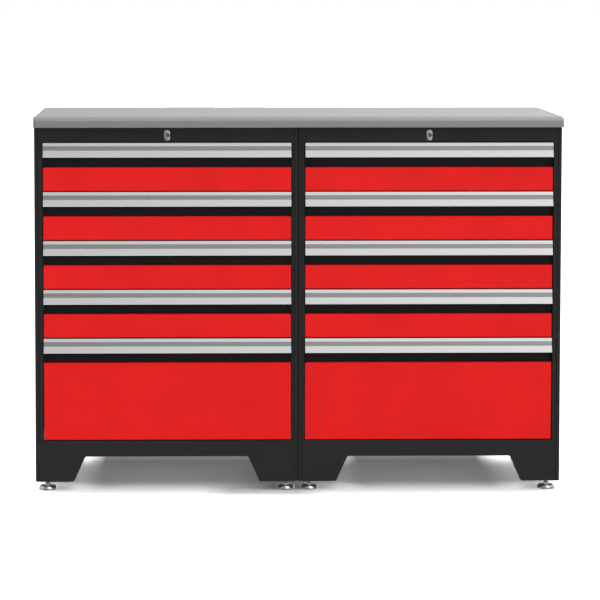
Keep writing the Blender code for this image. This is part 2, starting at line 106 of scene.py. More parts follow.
def block(low, high, open_sides=()):
    """A box between two corners. open_sides lists outward directions to leave off."""
    bm = bmesh.new()
    bmesh.ops.create_cube(bm, size=1.0)
    bmesh.ops.scale(bm, vec=[b - a for a, b in zip(low, high)], verts=bm.verts)
    bmesh.ops.translate(bm, vec=[(a + b) / 2 for a, b in zip(low, high)], verts=bm.verts)
    bm.normal_update()
    missing = [f for f in bm.faces if any(f.normal.dot(Vector(side)) > 0.9 for side in open_sides)]
    bmesh.ops.delete(bm, geom=missing, context="FACES_ONLY")
    return from_bmesh(bm)


def bevel(obj, width, segments=2, angle=50):
    modifier = obj.modifiers.new("bevel", "BEVEL")
    modifier.width = width
    modifier.segments = segments
    modifier.limit_method = "ANGLE"
    modifier.angle_limit = math.radians(angle)
    modifier.use_clamp_overlap = True
    return obj


def thicken(obj, thickness):
    """Gives an open sheet its thickness, inwards from its outer surface, and breaks its cut edges."""
    modifier = obj.modifiers.new("sheet", "SOLIDIFY")
    modifier.thickness = thickness
    modifier.offset = -1.0
    modifier.use_even_offset = True
    return bevel(obj, RIM, 1, 60)


def folded_pan(low, high, open_side, sheet=SHEET, bend=BEND):
    """A sheet metal pan, open on one side, with round bends and ground corners."""
    return thicken(bevel(block(low, high, [open_side]), bend, BEND_STEPS), sheet)


def fillet(points, radii, steps=5):
    """The closed outline with its corners rounded by arcs. A radius of 0 keeps a corner sharp."""
    made = []
    for i, (point, radius) in enumerate(zip(points, radii)):
        corner = Vector(point)
        if radius == 0:
            made.append(tuple(corner))
            continue
        before = Vector(points[i - 1]) - corner
        after = Vector(points[(i + 1) % len(points)]) - corner
        angle = before.angle(after)
        reach = min(radius / math.tan(angle / 2), 0.49 * before.length, 0.49 * after.length)
        used = reach * math.tan(angle / 2)
        middle = (before.normalized() + after.normalized()).normalized()
        centre = corner + middle * used / math.sin(angle / 2)
        start = corner + before.normalized() * reach - centre
        end = corner + after.normalized() * reach - centre
        turn = math.copysign(math.pi - angle, start.x * end.y - start.y * end.x)
        for step in range(steps + 1):
            made.append(tuple(centre + Matrix.Rotation(turn * step / steps, 2) @ start))
    return made


def rectangle(low, high, radius=0.0, steps=5):
    corners = [(low[0], low[1]), (high[0], low[1]), (high[0], high[1]), (low[0], high[1])]
    return fillet(corners, [radius] * 4, steps)


def circle(centre, radius, segments=32, phase=0.0):
    turns = [2 * math.pi * (i + phase) / segments for i in range(segments)]
    return [(centre[0] + radius * math.cos(a), centre[1] + radius * math.sin(a)) for a in turns]


# Where a point of a section goes, for a section at t along an axis
PLACES = {
    "X": lambda a, b, t: (t, a, b),
    "Y": lambda a, b, t: (a, t, b),
    "Z": lambda a, b, t: (a, b, t),
}


def lofted(loops, closed=False, capped=False):
    """Faces between loops of points that have equally many points each."""
    bm = bmesh.new()
    rings = [[bm.verts.new(p) for p in loop] for loop in loops]
    pairs = list(zip(rings, rings[1:]))
    if closed:
        pairs.append((rings[-1], rings[0]))
    for ring, following in pairs:
        for i in range(len(ring)):
            j = (i + 1) % len(ring)
            bm.faces.new((ring[i], ring[j], following[j], following[i]))
    if capped:
        bm.faces.new(rings[0])
        bm.faces.new(rings[-1])
    bmesh.ops.recalc_face_normals(bm, faces=bm.faces)
    return from_bmesh(bm)


def prism(outline, start, end, axis):
    """A straight bar. Its outline is (y, z) along X, (x, z) along Y and (x, y) along Z."""
    place = PLACES[axis]
    return lofted([[place(a, b, t) for a, b in outline] for t in (start, end)], capped=True)


def strip(section, start, end, axis, turned_over=False):
    """An open sheet with this section, to be thickened on the side away from its normals."""
    place = PLACES[axis]
    bm = bmesh.new()
    lines = [[bm.verts.new(place(a, b, t)) for t in (start, end)] for a, b in section]
    for (a, b), (c, d) in zip(lines, lines[1:]):
        bm.faces.new((a, c, d, b) if turned_over else (a, b, d, c))
    return from_bmesh(bm)


def turned(profile, segments=48):
    """A closed shape turned about Z from (radius, height) points."""
    bm = bmesh.new()
    points = [bm.verts.new((radius, 0, height)) for radius, height in profile]
    edges = [bm.edges.new(pair) for pair in zip(points, points[1:])]
    bmesh.ops.spin(
        bm, geom=points + edges, cent=(0, 0, 0), axis=(0, 0, 1), angle=2 * math.pi, steps=segments,
        use_merge=True,
    )
    bmesh.ops.remove_doubles(bm, verts=bm.verts, dist=TURNED_MERGE)
    bmesh.ops.recalc_face_normals(bm, faces=bm.faces)
    return from_bmesh(bm)


def tube(points, radius, sides=8):
    """A closed round wire along a loop of points in a level plane."""
    loops = []
    count = len(points)
    for i, point in enumerate(points):
        here = Vector(point)
        ahead = (Vector(points[(i + 1) % count]) - Vector(points[i - 1])).normalized()
        out = Vector((ahead.y, -ahead.x, 0))
        loops.append(
            [
                here + radius * (math.cos(a) * out + math.sin(a) * Vector((0, 0, 1)))
                for a in [2 * math.pi * k / sides for k in range(sides)]
            ]
        )
    return lofted(loops, closed=True)


def moved(obj, matrix):
    obj.data.transform(matrix)
    return obj


def facing_front(obj):
    """Turns a shape that looks along +Z so that it looks along -Y."""
    return moved(obj, Matrix.Rotation(math.radians(90), 4, "X"))


def plate(outlines, thickness, edge=0.0, steps=1):
    """A flat plate in the XY plane, centred on Z, with holes after the first outline. edge rounds it."""
    curve = bpy.data.curves.new("scratch", "CURVE")
    curve.dimensions = "2D"
    curve.fill_mode = "BOTH"
    curve.extrude = thickness / 2 - edge
    curve.bevel_depth = edge
    curve.bevel_resolution = steps
    curve.offset = -edge
    for number, outline in enumerate(outlines):
        spline = curve.splines.new("POLY")
        spline.points.add(len(outline) - 1)
        for point, (x, y) in zip(spline.points, outline if number == 0 else outline[::-1]):
            point.co = (x, y, 0, 1)
        spline.use_cyclic_u = True
    obj = scratch(curve)
    bm = bmesh.new()
    bm.from_mesh(final_mesh(obj))
    bmesh.ops.remove_doubles(bm, verts=bm.verts, dist=OUTLINE_MERGE)
    bmesh.ops.recalc_face_normals(bm, faces=bm.faces)
    return from_bmesh(bm)


def open_below(obj):
    """Removes the faces that look down, which leaves a pan."""
    bm = bmesh.new()
    bm.from_mesh(final_mesh(obj))
    bm.normal_update()
    bmesh.ops.delete(bm, geom=[f for f in bm.faces if f.normal.z < -0.9], context="FACES")
    return from_bmesh(bm)


def cut(obj, cutter):
    modifier = obj.modifiers.new("cut", "BOOLEAN")
    modifier.operation = "DIFFERENCE"
    modifier.object = cutter
    mesh = final_mesh(obj)
    bpy.data.objects.remove(cutter)
    return scratch(mesh)


def final_mesh(obj):
    """The mesh of a scratch object with its modifiers applied. The object is removed."""
    bpy.context.view_layer.update()
    graph = bpy.context.evaluated_depsgraph_get()
    mesh = bpy.data.meshes.new_from_object(obj.evaluated_get(graph))
    mesh.transform(obj.matrix_world)
    bpy.data.objects.remove(obj)
    return mesh


def copies(obj, places):
    """The shape repeated at each place, given as a position or a matrix."""
    mesh = final_mesh(obj)
    bm = bmesh.new()
    for place in places:
        one = mesh.copy()
        one.transform(place if isinstance(place, Matrix) else Matrix.Translation(place))
        bm.from_mesh(one)
        bpy.data.meshes.remove(one)
    bpy.data.meshes.remove(mesh)
    return from_bmesh(bm)


def joined(name, shapes, material, side=1, sharp=35):
    """One smooth-shaded mesh of several shapes, mirrored in X for side -1, with weighted normals."""
    bm = bmesh.new()
    for shape in shapes:
        mesh = final_mesh(shape)
        bm.from_mesh(mesh)
        bpy.data.meshes.remove(mesh)
    if side < 0:
        bmesh.ops.scale(bm, vec=(-1, 1, 1), verts=bm.verts)
        bmesh.ops.reverse_faces(bm, faces=bm.faces)
    base = bpy.data.meshes.new(name)
    bm.to_mesh(base)
    bm.free()
    base.shade_smooth()
    base.set_sharp_from_angle(angle=math.radians(sharp))
    obj = scratch(base)
    weighted = obj.modifiers.new("normals", "WEIGHTED_NORMAL")
    weighted.keep_sharp = True
    mesh = final_mesh(obj)
    mesh.name = name
    mesh.materials.clear()
    mesh.materials.append(material)
    return mesh


def piece(name, mesh, body, replaces=(), location=(0, 0, 0)):
    obj = bpy.data.objects.new(name, mesh)
    bpy.context.scene.collection.objects.link(obj)
    obj.location = location
    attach(obj, body)
    if replaces:
        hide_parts(*replaces)
    return obj


# ---------------------------------------------------------------- materials

def new_material(name, roughness, metallic=0.0, specular=0.5):
    material = bpy.data.materials.new(name)
    material.use_nodes = True
    tree = material.node_tree
    shader = tree.nodes["Principled BSDF"]
    shader.inputs["Roughness"].default_value = roughness
    shader.inputs["Metallic"].default_value = metallic
    shader.inputs["Specular IOR Level"].default_value = specular
    return material, tree, shader


def add(tree, kind, inputs=None, **settings):
    """A node with its settings and inputs. An input is a value or another node's output."""
    node = tree.nodes.new(kind)
    for name, value in settings.items():
        setattr(node, name, value)
    for name, value in (inputs or {}).items():
        if isinstance(value, bpy.types.NodeSocket):
            tree.links.new(value, node.inputs[name])
        else:
            node.inputs[name].default_value = value
    return node


def grain(tree, stretch, detail=3.0, roughness=0.55):
    """Noise in the piece's own coordinates, with so many cells a metre along X, Y and Z."""
    where = add(tree, "ShaderNodeTexCoord").outputs["Object"]
    scaled = add(tree, "ShaderNodeMapping", {"Vector": where, "Scale": stretch})
    which = add(tree, "ShaderNodeObjectInfo").outputs["Random"]
    offset = add(tree, "ShaderNodeMath", {0: which, 1: 40.0}, operation="MULTIPLY")
    noise = add(
        tree,
        "ShaderNodeTexNoise",
        {
            "Vector": scaled.outputs["Vector"],
            "W": offset.outputs[0],
            "Scale": 1.0,
            "Detail": detail,
            "Roughness": roughness,
        },
        noise_dimensions="4D",
    )
    return noise.outputs["Fac"]


def ranged(tree, value, low, high, from_low=0.3, from_high=0.7):
    """Runs from low to high while the value runs from from_low to from_high."""
    node = add(
        tree,
        "ShaderNodeMapRange",
        {"Value": value, "From Min": from_low, "From Max": from_high, "To Min": low, "To Max": high},
    )
    return node.outputs["Result"]


def tinted(tree, shader, factor, dark, light):
    """Varies the base colour between two colours."""
    ramp = add(tree, "ShaderNodeValToRGB", {"Fac": factor})
    ramp.color_ramp.elements[0].position = 0.3
    ramp.color_ramp.elements[0].color = (*dark, 1)
    ramp.color_ramp.elements[1].position = 0.7
    ramp.color_ramp.elements[1].color = (*light, 1)
    tree.links.new(ramp.outputs["Color"], shader.inputs["Base Color"])


def roughened(tree, shader, factor, low, high):
    tree.links.new(ranged(tree, factor, low, high), shader.inputs["Roughness"])


def bumped(tree, shader, height, distance, strength=1.0):
    bump = add(tree, "ShaderNodeBump", {"Height": height, "Distance": distance, "Strength": strength})
    tree.links.new(bump.outputs["Normal"], shader.inputs["Normal"])


def around(colour, spread):
    """The colour made darker and lighter by a share of itself."""
    return [tuple(c * (1 + sign * spread) for c in colour) for sign in (-1, 1)]


def powder_coat(name, colour, roughness, texture, specular):
    """Baked powder paint: a fine even orange peel, with clouds too faint to see but for the sheen."""
    material, tree, shader = new_material(name, roughness, 0.0, specular)
    clouds = grain(tree, (7, 7, 7))
    tinted(tree, shader, clouds, *around(colour, 0.06))
    roughened(tree, shader, clouds, roughness - 0.04, roughness + 0.04)
    bumped(tree, shader, grain(tree, (texture,) * 3, 2.0), 0.00012)
    return material


def brushed(name, colour, roughness, along, across, spread):
    """Metal with fine lines along X."""
    material, tree, shader = new_material(name, roughness, 1.0)
    lines = grain(tree, (along, across, across), 4.0)
    tinted(tree, shader, lines, *around(colour, spread))
    roughened(tree, shader, lines, roughness - 0.05, roughness + 0.05)
    bumped(tree, shader, lines, 0.00003)
    return material


def mottled(name, colour, roughness, size, spread):
    """Plated metal with a cloudy, slightly uneven finish."""
    material, tree, shader = new_material(name, roughness, 1.0)
    clouds = grain(tree, (1 / size,) * 3, 5.0)
    tinted(tree, shader, clouds, *around(colour, spread))
    roughened(tree, shader, clouds, roughness * 0.8, roughness * 1.2)
    bumped(tree, shader, grain(tree, (1200, 1200, 1200), 2.0), 0.00001)
    return material


def rubber(name, colour):
    material, tree, shader = new_material(name, 0.8)
    specks = grain(tree, (700, 700, 700), 4.0)
    tinted(tree, shader, specks, *around(colour, 0.25))
    roughened(tree, shader, specks, 0.7, 0.9)
    bumped(tree, shader, specks, 0.0001)
    return material


def particle_board(name):
    """Pressed wood chips."""
    material, tree, shader = new_material(name, 0.85)
    where = add(tree, "ShaderNodeTexCoord").outputs["Object"]
    stretched = add(tree, "ShaderNodeMapping", {"Vector": where, "Scale": (180, 420, 420)})
    chips = add(tree, "ShaderNodeTexVoronoi", {"Vector": stretched.outputs["Vector"], "Scale": 1.0})
    shade = add(tree, "ShaderNodeSeparateColor", {"Color": chips.outputs["Color"]})
    tinted(tree, shader, shade.outputs["Red"], (0.26, 0.16, 0.075), (0.52, 0.37, 0.20))
    bumped(tree, shader, chips.outputs["Distance"], 0.0003)
    return material


BLACK = powder_coat("black_powder_coat", (0.0150, 0.0150, 0.0155), 0.46, 900, 0.32)
# The trays' matt black paint is darker than the frame's coat: partly painted shade, so the recess under each
# pull looks shaded
TRAY_BLACK_AND_RECESS_SHADE = powder_coat("matt_black_paint_and_recess_shade", (0.0125, 0.0125, 0.0130), 0.60, 900, 0.2)
RED = powder_coat("red_paint", (0.715, 0.0035, 0.0032), 0.34, 600, 0.22)
STAINLESS = brushed("brushed_stainless", (0.53, 0.53, 0.525), 0.50, 5, 900, 0.05)
ALUMINIUM = brushed("satin_aluminium", (0.74, 0.74, 0.74), 0.25, 3, 1400, 0.03)
ZINC = mottled("zinc_plate", (0.56, 0.57, 0.58), 0.34, 0.02, 0.10)
CHROME = mottled("chrome_plate", (0.92, 0.93, 0.94), 0.12, 0.05, 0.03)
# The lock plug's nickel is darkened as painted shade for the plug, which sits inside the escutcheon
DARKENED_NICKEL = mottled("nickel_plate_darkened_as_shade", (0.36, 0.37, 0.37), 0.30, 0.01, 0.08)
SATIN_CHROME = mottled("satin_chrome_plate", (0.80, 0.81, 0.82), 0.24, 0.03, 0.05)
RUBBER = rubber("black_rubber", (0.02, 0.02, 0.021))
LINER = rubber("grey_liner", (0.045, 0.046, 0.048))
BOARD = particle_board("particle_board")


# ---------------------------------------------------------------- worktop

EDGE_RADIUS = 0.014
END_RADIUS = 0.007
EDGE_STEPS = 10
HEM_WIDTH = 0.048
HEM_EDGE = 0.0003
CORE_GAP = 0.0003


def slab(low, high, inset):
    """The worktop's shape, rolled along its front and back edges, with smaller curves round its ends."""

    def section(shrink):
        radius = EDGE_RADIUS - shrink
        y0, y1, top = low.y + shrink, high.y - shrink, high.z - shrink
        corners = [(y1, low.z), (y1, top), (y0, top), (y0, low.z)]
        return fillet(corners, [0, radius, radius, 0], EDGE_STEPS)

    radius = END_RADIUS - inset
    turns = [math.pi / 2 * i / EDGE_STEPS for i in range(EDGE_STEPS + 1)]
    ends = [(END_RADIUS - radius * math.cos(a), inset + radius * (1 - math.sin(a))) for a in turns]
    right = [(high.x - x, shrink) for x, shrink in ends]
    left = [(low.x + x, shrink) for x, shrink in reversed(ends)]
    return lofted([[(x, y, z) for y, z in section(shrink)] for x, shrink in [*right, *left]], capped=True)


def worktop():
    """A steel skin with drawn ends and a hem turned in under the core board."""
    low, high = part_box("worktop_skin")
    skin = thicken(open_below(slab(low, high, 0)), THIN_SHEET)
    outer = rectangle((low.x, low.y), (high.x, high.y), END_RADIUS, EDGE_STEPS)
    inner = rectangle((low.x + HEM_WIDTH, low.y + HEM_WIDTH), (high.x - HEM_WIDTH, high.y - HEM_WIDTH))
    hem = moved(
        plate([outer, inner], THIN_SHEET, HEM_EDGE),
        Matrix.Translation((0, 0, low.z + THIN_SHEET / 2)),
    )
    mesh = joined("worktop_skin_steel", [skin, hem], STAINLESS)
    piece("worktop_skin_steel", mesh, "chest", ["worktop_skin"])

    above_hem = Vector((0, 0, THIN_SHEET + CORE_GAP))
    board = slab(low + above_hem, high, THIN_SHEET + CORE_GAP)
    mesh = joined("worktop_core_board", [board], BOARD)
    piece("worktop_core_board", mesh, "chest", ["worktop_core"])


# ---------------------------------------------------------------- cabinets, modelled at +X

# A leg is LEG_FOOT wide at the floor and LEG_ROOT where the toe space ends. The lock's hole is cut by a
# cylinder that reaches BORE_REACH to each side of the sheet.
LEG_RADIUS = 0.006
LEG_FOOT = 0.104
LEG_ROOT = 0.135
TOE_HEIGHT = 0.094
DRAWER_GAP = 0.002
BORE_GAP = 0.0003
BORE_REACH = 0.01


def front_frame():
    """The pressed front, its edges folded back all round, with a hole for the lock barrel."""
    low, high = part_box("right_front_frame")
    lowest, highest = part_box("right_drawer_5_face")[0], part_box("right_drawer_1_handle")[1]
    opening = rectangle(
        (lowest.x - DRAWER_GAP, lowest.z - DRAWER_GAP), (highest.x + DRAWER_GAP, highest.z + DRAWER_GAP)
    )
    outer_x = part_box("right_outer_side_panel")[1].x
    corners = [
        (low.x, high.z),
        (low.x, low.z),
        (LEG_FOOT, low.z),
        (LEG_ROOT, TOE_HEIGHT),
        (outer_x - LEG_ROOT, TOE_HEIGHT),
        (outer_x - LEG_FOOT, low.z),
        (high.x, low.z),
        (high.x, high.z),
    ]
    outline = fillet(corners, [0, 0, LEG_RADIUS, LEG_RADIUS, LEG_RADIUS, LEG_RADIUS, 0, 0])
    # A solid plate with round edges, of which only the front is kept and made a sheet
    depth = high.y - low.y
    shell = plate([outline, opening], 4 * depth, BEND, 3)
    facing_front(shell)
    moved(shell, Matrix.Translation((0, low.y + 2 * depth, 0)))
    bm = bmesh.new()
    bm.from_mesh(shell.data)
    bmesh.ops.bisect_plane(
        bm, geom=bm.verts[:] + bm.edges[:] + bm.faces[:], dist=BISECT_MERGE,
        plane_co=(0, high.y, 0), plane_no=(0, 1, 0), clear_outer=True,
    )
    bpy.data.objects.remove(shell)
    pressed = thicken(from_bmesh(bm), SHEET)
    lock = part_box("right_lock_housing")
    centre = (lock[0] + lock[1]) / 2
    bore = BARREL_RADIUS + BORE_GAP
    hole = facing_front(turned([(0, -BORE_REACH), (bore, -BORE_REACH), (bore, BORE_REACH), (0, BORE_REACH)]))
    moved(hole, Matrix.Translation((centre.x, low.y, centre.z)))
    return [cut(pressed, hole)]


FLANGE = 0.0095
BASE_RAIL_WIDTH = 0.062
BASE_RAIL_THICKNESS = 0.003
BASE_RAIL_RADIUS = 0.004
BASE_RAIL_EDGE = 0.0004
RAIL_GAP = 0.001
STUD_GAP = 0.0006


def side_panel(which):
    """A flanged wall with a rail across its foot for the two levelling studs."""
    low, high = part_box(f"right_{which}_side_panel")
    inner = which == "inner"
    edge = low.x if inner else high.x
    inwards = 1 if inner else -1
    x = sorted((edge, edge + inwards * FLANGE))
    wall = folded_pan((x[0], low.y, low.z), (x[1], high.y, high.z), (inwards, 0, 0), bend=WALL_BEND)
    feet = [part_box(f"right_foot_{end}_{which}") for end in ("front", "rear")]
    studs = [((a.x + b.x) / 2, (a.y + b.y) / 2) for a, b in feet]
    frame_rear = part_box("right_front_frame")[1].y
    rail_x = sorted((edge + inwards * SHEET, edge + inwards * BASE_RAIL_WIDTH))
    outline = rectangle(
        (rail_x[0], frame_rear + RAIL_GAP), (rail_x[1], high.y - SHEET - RAIL_GAP), BASE_RAIL_RADIUS
    )
    holes = [circle(stud, STUD_RADIUS + STUD_GAP) for stud in studs]
    rail = plate([outline, *holes], BASE_RAIL_THICKNESS, BASE_RAIL_EDGE)
    return [wall, moved(rail, Matrix.Translation((0, 0, BASE_RAIL_TOP - BASE_RAIL_THICKNESS / 2)))]


# The heads of rivets and screws start a little below the surface that they sit on
HEAD_ROOT = 0.0004
RIVET_RADIUS = 0.0042
RIVET_HEIGHT = 0.0007
RIVET_INSET = 0.010


def rivets():
    """Dome rivets that hold the runner posts, on the outside of the cabinet's outer wall."""
    wall_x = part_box("right_outer_side_panel")[1].x
    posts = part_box("right_outer_runner_ladder")
    turns = [math.radians(15 * i) for i in range(6)]
    dome = [(RIVET_RADIUS * math.cos(a), RIVET_HEIGHT * math.sin(a)) for a in turns]
    head = turned([(0, -HEAD_ROOT), (RIVET_RADIUS, -HEAD_ROOT), *dome, (0, RIVET_HEIGHT)], 20)
    sideways = Matrix.Rotation(math.radians(90), 4, "Y")
    places = [
        Matrix.Translation((wall_x, y, runner_height(number))) @ sideways
        for y in (posts[0].y + RIVET_INSET, posts[1].y - RIVET_INSET)
        for number in DRAWERS
    ]
    return copies(head, places)


# The pressed fields of the back: their margin, half the space between them, their corner radius and
# the section of their slope as (inset, depth)
EMBOSS_MARGIN = 0.045
EMBOSS_APART = 0.02
EMBOSS_RADIUS = 0.018
EMBOSS_SLOPE = ((0, 0), (0.0012, 0.0002), (0.0055, 0.0038), (0.0070, 0.0040))


def carcass():
    """Bottom, back and top folded from one sheet, with two beaded fields pressed into the back."""
    low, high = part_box("right_carcass_wrap")
    bm = bmesh.new()
    section = [(low.y, low.z), (high.y, low.z), (high.y, high.z), (low.y, high.z)]
    section = fillet(section, [0, BEND, BEND, 0], BEND_STEPS)
    rows = [[bm.verts.new((x, y, z)) for x in (low.x, high.x)] for y, z in section]
    back = None
    for (a, b), (c, d) in zip(rows, rows[1:]):
        if abs(a.co.y - high.y) < SHEET_MERGE and abs(c.co.y - high.y) < SHEET_MERGE:
            back = (a, b, d, c)
            continue
        bm.faces.new((a, b, d, c))
    border = [bm.edges.get(pair) or bm.edges.new(pair) for pair in zip(back, back[1:] + back[:1])]
    middle = (low.z + high.z) / 2
    fields = [
        (low.z + EMBOSS_MARGIN, middle - EMBOSS_APART),
        (middle + EMBOSS_APART, high.z - EMBOSS_MARGIN),
    ]
    for bottom, top in fields:
        loops = []
        for inset, sink in EMBOSS_SLOPE:
            outline = rectangle(
                (low.x + EMBOSS_MARGIN + inset, bottom + inset),
                (high.x - EMBOSS_MARGIN - inset, top - inset),
                EMBOSS_RADIUS - inset,
                8,
            )
            loops.append([bm.verts.new((x, high.y - sink, z)) for x, z in outline])
        for ring, following in zip(loops, loops[1:]):
            for i in range(len(ring)):
                j = (i + 1) % len(ring)
                bm.faces.new((ring[j], ring[i], following[i], following[j]))
        bm.faces.new(loops[-1][::-1])
        border += [bm.edges.get((a, b)) for a, b in zip(loops[0], loops[0][1:] + loops[0][:1])]
    bmesh.ops.triangle_fill(bm, use_beauty=True, edges=border)
    bmesh.ops.recalc_face_normals(bm, faces=bm.faces)
    sheet = from_bmesh(bm)
    if sum((p.normal.y * p.area) for p in sheet.data.polygons) < 0:
        sheet.data.flip_normals()
    return [thicken(sheet, SHEET)]


# A screw's hexagon socket: the radius of its rim and half its width, as shares of the head's radius, and
# the levels of its rim, mouth and floor, as shares of the head's height
SOCKET_RIM = 0.54
SOCKET_HALF = 0.405
SOCKET_LEVELS = (0.97, 0.95, 0.25)
SCREW_SIDES = 24


def screw(radius, height):
    """A button-head screw with a hexagon socket, looking along +Z."""
    rim, mouth, floor = [share * height for share in SOCKET_LEVELS]
    turns = [math.radians(12 * i) for i in range(6)]
    dome = [(radius * math.cos(a), height * math.sin(a)) for a in turns]
    outer = [(radius, -HEAD_ROOT), *dome, (SOCKET_RIM * radius, rim)]
    loops = [[(r * x, r * y, z) for x, y in circle((0, 0), 1.0, SCREW_SIDES)] for r, z in outer]
    hexagon = []
    for i in range(SCREW_SIDES):
        angle = 2 * math.pi * i / SCREW_SIDES
        reach = SOCKET_HALF * radius / math.cos(angle % (math.pi / 3) - math.pi / 6)
        hexagon.append((reach * math.cos(angle), reach * math.sin(angle)))
    loops += [[(x, y, z) for x, y in hexagon] for z in (mouth, floor)]
    return lofted(loops, capped=True)


# A screw's (radius, height), and where the back's screws sit from its edges and its ends
BACK_SCREW = (0.0042, 0.0022)
BACK_SCREW_INSET = 0.016
BACK_SCREW_MARGIN = 0.025
BACK_SCREWS_PER_EDGE = 5


def back_screws():
    low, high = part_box("right_carcass_wrap")
    head = moved(screw(*BACK_SCREW), Matrix.Rotation(math.radians(-90), 4, "X"))
    span = high.z - low.z - 2 * BACK_SCREW_MARGIN
    steps = BACK_SCREWS_PER_EDGE - 1
    rows = [low.z + BACK_SCREW_MARGIN + i * span / steps for i in range(BACK_SCREWS_PER_EDGE)]
    columns = (low.x + BACK_SCREW_INSET, high.x - BACK_SCREW_INSET)
    return copies(head, [(x, high.y, z) for x in columns for z in rows])


def make_cabinet(name, side):
    shells = {
        "front_frame": front_frame(),
        "inner_side_panel": side_panel("inner"),
        "outer_side_panel": side_panel("outer"),
        "carcass_wrap": carcass(),
    }
    for node, shapes in shells.items():
        label = f"{name}_{node}_sheet"
        mesh = joined(label, shapes, BLACK, side)
        piece(label, mesh, "chest", [f"{name}_{node}"])
    label = f"{name}_side_rivets"
    piece(label, joined(label, [rivets()], BLACK, side), "chest")
    label = f"{name}_back_screws"
    piece(label, joined(label, [back_screws()], ZINC, side), "chest")


# ---------------------------------------------------------------- drawers

def drawer_origin(name):
    """The middle of the lower edge of a drawer's front."""
    low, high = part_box(f"{name}_face")
    return Vector(((low.x + high.x) / 2, low.y, low.z))


def runner_height(number):
    return drawer_origin(f"right_drawer_{number}").z + RUNNER_LIFT


def local_box(name, part):
    origin = drawer_origin(name)
    low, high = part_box(f"{name}_{part}")
    return low - origin, high - origin


FACE_BEND = 0.0020


def red_face(number):
    low, high = local_box(f"right_drawer_{number}", "face")
    return [folded_pan(low, high, (0, 1, 0), THIN_SHEET, FACE_BEND)]


PULL_EDGE = 0.0003


def pull():
    """The extruded pull. Its section is (y, z) from the top of the drawer front, with corner radii."""
    low, high = local_box("right_drawer_1", "handle")
    back = high.y
    bottom = low.z - high.z
    corners = [
        (back, 0, 0.0003),
        (-0.0034, 0, 0.0008),
        (-0.0070, -0.0086, 0.0016),
        (-0.0070, -0.0210, 0.0060),
        (low.y, bottom + 0.0016, 0.0010),
        (-0.0137, bottom, 0.0006),
        (-0.0120, bottom, 0.0006),
        (-0.0113, bottom + 0.0024, 0.0008),
        (-0.0049, -0.0227, 0.0040),
        (-0.0049, -0.0092, 0.0014),
        (-0.0020, -0.0022, 0.0010),
        (back - 0.0022, -0.0022, 0.0006),
        (back - 0.0022, -0.0140, 0.0003),
        (back, -0.0140, 0.0003),
    ]
    outline = fillet([(y, z) for y, z, _ in corners], [radius for _, _, radius in corners], 5)
    return [bevel(prism(outline, low.x, high.x, "X"), PULL_EDGE, 2, 60)]


# The walls' slots for dividers, then the folds, the rim, the front plate and the lock pin
SLOT_WIDTH = 0.0022
SLOT_HEIGHT = 0.038
SLOT_PITCH = 0.050
SLOTS_PER_ROW = 9
SLOT_MARGIN = 0.008
ROW_GAP = 0.016
CUT_REACH = 0.01
TRAY_BEND = 0.0022
FRONT_GAP = 0.0002
RIM_RADIUS = 0.0012
RIM_CORNER = 0.0025
PLATE_EDGE = 0.0003
PLATE_DROP = 0.0005
PIN_PROFILE = ((0, 0), (0.0030, 0), (0.0030, 0.0130), (0.0024, 0.0138), (0, 0.0138))
PIN_BACK = 0.044
PIN_LIFT = 0.028


def tray(number):
    """The steel box: slotted walls for dividers, a rolled rim, the wide front plate and the lock pin."""
    low, high = local_box(f"right_drawer_{number}", "tray")
    half = high.x - TRAY_INSET
    top = high.z
    front = low.y + FRONT_GAP
    box = folded_pan((-half, front, TRAY_LIFT), (half, high.y, top), (0, 0, 1), THIN_SHEET, TRAY_BEND)
    first_row = RUNNER_LIFT + RAIL_HALF + SLOT_MARGIN
    rows = int((top - SLOT_MARGIN - first_row + ROW_GAP) // (SLOT_HEIGHT + ROW_GAP))
    slots = [
        (0, front + SLOT_PITCH + step * SLOT_PITCH, first_row + row * (SLOT_HEIGHT + ROW_GAP))
        for row in range(rows)
        for step in range(SLOTS_PER_ROW)
    ]
    reach = half + CUT_REACH
    cutter = block((-reach, -SLOT_WIDTH / 2, 0), (reach, SLOT_WIDTH / 2, SLOT_HEIGHT))
    box = cut(box, copies(cutter, slots))
    wall = half - THIN_SHEET / 2
    path = rectangle((-wall, front + THIN_SHEET / 2), (wall, high.y - THIN_SHEET / 2), RIM_CORNER, 4)
    rim = tube([(x, y, top - RIM_RADIUS) for x, y in path], RIM_RADIUS)
    front_plate = block((low.x, low.y, low.z), (high.x, front + THIN_SHEET, top - PLATE_DROP))
    pin = moved(turned(PIN_PROFILE, 20), Matrix.Rotation(math.radians(90), 4, "Y"))
    moved(pin, Matrix.Translation((half, PIN_BACK, RUNNER_LIFT + PIN_LIFT)))
    return [box, rim, bevel(front_plate, PLATE_EDGE), pin]


# The rail's section, then its screws as (radius, height) and their places in the front wall
RAIL_LIP = 0.0025
RAIL_GROOVE = 0.0022
GROOVE_HALF = 0.0105
RAIL_PLAY = 0.0002
PULL_SCREW = (0.0045, 0.0024)
PULL_SCREWS = (-0.24, -0.08, 0.08, 0.24)
PULL_SCREW_BACK = 0.0014
PULL_SCREW_DROP = 0.014


